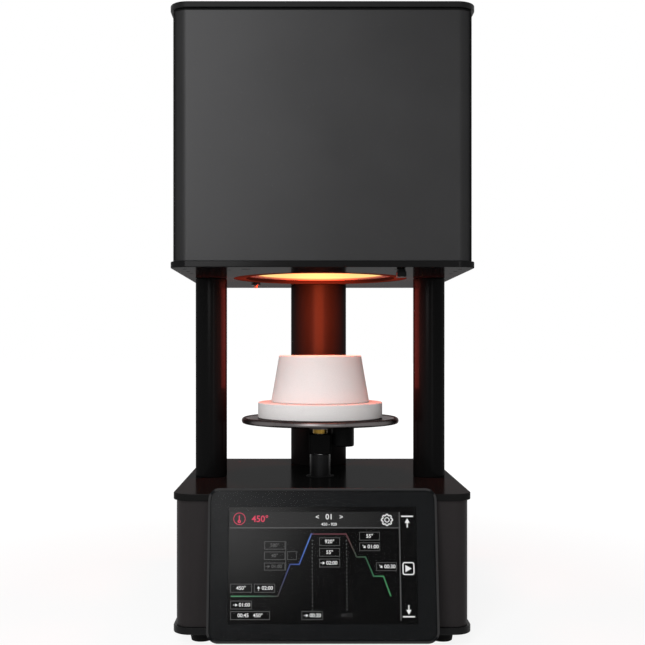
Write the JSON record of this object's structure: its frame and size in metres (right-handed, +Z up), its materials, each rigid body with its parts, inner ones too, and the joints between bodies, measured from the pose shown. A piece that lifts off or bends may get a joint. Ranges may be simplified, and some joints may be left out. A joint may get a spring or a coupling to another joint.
{
  "type": "dental lab furnace",
  "caption": "Bench furnace whose plate lifts a pedestal through the open working space into a heated head, with a tilted touch panel on the base.",
  "frame": {"origin": "on the ground, midway between the sides and midway between the panel's front foot and the vacuum port's tip", "axes": "+Z up, +X to the viewer's right from the front, -Y towards the user"},
  "size_m": [0.26, 0.317, 0.5515],
  "materials": {
    "head_casing": "satin dark grey coating",
    "base_casing": "satin near-black coating",
    "black_plate": "satin black",
    "underside": "glossy dark grey",
    "gloss_black": "glossy black",
    "column_black": "glossy black tube",
    "rear_column": "satin black tube",
    "gunmetal": "dark machined metal",
    "firing_plate": "dark ground metal plate",
    "steel": "turned steel",
    "sheet_metal": "plain sheet",
    "seal_flange": "ground sealing ring",
    "brass": "turned brass",
    "fibre": "white pressed ceramic fibre",
    "hot_fibre": "ceramic fibre, glowing",
    "hot_collar": "ceramic ring in the glow",
    "hot_quartz": "milky quartz tube, glowing",
    "element": "hot resistance wire",
    "probe": "ceramic probe sheath",
    "rubber": "black rubber",
    "dark_plastic": "black moulded plastic",
    "panel_frame": "black frame with a bevelled edge",
    "panel_glass": "dark cover glass",
    "display": "lit display",
    "board": "green circuit board"
  },
  "bodies": {
    "furnace": {"foot_front_left": "rubber", "foot_front_right": "rubber", "foot_rear_left": "rubber", "foot_rear_right": "rubber", "base_bottom_plate": "black_plate", "base_shell": "base_casing", "base_top_plate": "gloss_black", "column_left": "column_black", "column_right": "column_black", "column_rear": "rear_column", "tie_rod_left": "steel", "tie_rod_right": "steel", "lift_guide": "gunmetal", "lift_motor": "gunmetal", "head_base_plate": "underside", "head_shell": "head_casing", "top_gasket": "rubber", "head_top_plate": "black_plate", "head_post_front_left": "steel", "head_post_front_right": "steel", "head_post_rear_left": "steel", "head_post_rear_right": "steel", "seal_flange": "seal_flange", "chamber_collar": "hot_collar", "muffle": "hot_quartz", "heating_coil": "element", "insulation_ring": "fibre", "insulation_lid": "hot_fibre", "chamber_vessel": "steel", "thermocouple": "probe", "terminal_lower": "steel", "terminal_upper": "steel", "sensor_block": "dark_plastic", "locating_clip": "gunmetal", "vacuum_valve": "gunmetal", "vacuum_port": "steel", "vacuum_line": "steel", "power_supply": "sheet_metal", "control_board": "board", "fan_frame": "dark_plastic", "power_inlet": "dark_plastic", "data_socket": "steel", "panel_bezel": "panel_frame", "panel_glass": "panel_glass", "display_module": "display", "panel_back_cover": "dark_plastic", "panel_mount_sleeve": "steel"},
    "screw": {"lift_screw": "steel"},
    "sleeve": {"lift_sleeve": "steel"},
    "platform": {"lift_rod": "steel", "hub_block": "column_black", "brass_bush": "brass", "firing_plate": "firing_plate", "plate_seal": "rubber", "switch_pod": "dark_plastic"},
    "pedestal": {"pedestal_base": "fibre", "pedestal_cone": "fibre"},
    "fan": {"fan_rotor": "dark_plastic"},
    "rocker": {"main_switch": "dark_plastic"}
  },
  "joints": [
    {"name": "platform_lift", "type": "slide", "parent": "furnace", "child": "platform", "axis": [0, 0, 1], "range_m": [0, 0.1356]},
    {"name": "sleeve_lift", "type": "slide", "parent": "furnace", "child": "sleeve", "axis": [0, 0, 1], "range_m": [0, 0.0678]},
    {"name": "screw_turn", "type": "hinge", "parent": "furnace", "child": "screw", "pos_m": [0, -0.00783, 0.0303], "axis": [0, 0, 1], "range_deg": [0, 4882]},
    {"name": "pedestal_lift", "type": "slide", "parent": "platform", "child": "pedestal", "axis": [0, 0, 1], "range_m": [0, 0.02]},
    {"name": "fan_spin", "type": "hinge", "parent": "furnace", "child": "fan", "pos_m": [-0.07, 0.12517, 0.072], "axis": [0, 1, 0], "continuous": true},
    {"name": "switch_rock", "type": "hinge", "parent": "furnace", "child": "rocker", "pos_m": [0.085, 0.14227, 0.0785], "axis": [1, 0, 0], "range_deg": [-18, 0]}
  ],
  "couplings": [
    {"joint": "sleeve_lift", "follows": "platform_lift", "ratio": 0.5},
    {"joint": "screw_turn", "follows": "platform_lift", "rad_per_m": 628.32}
  ]
}
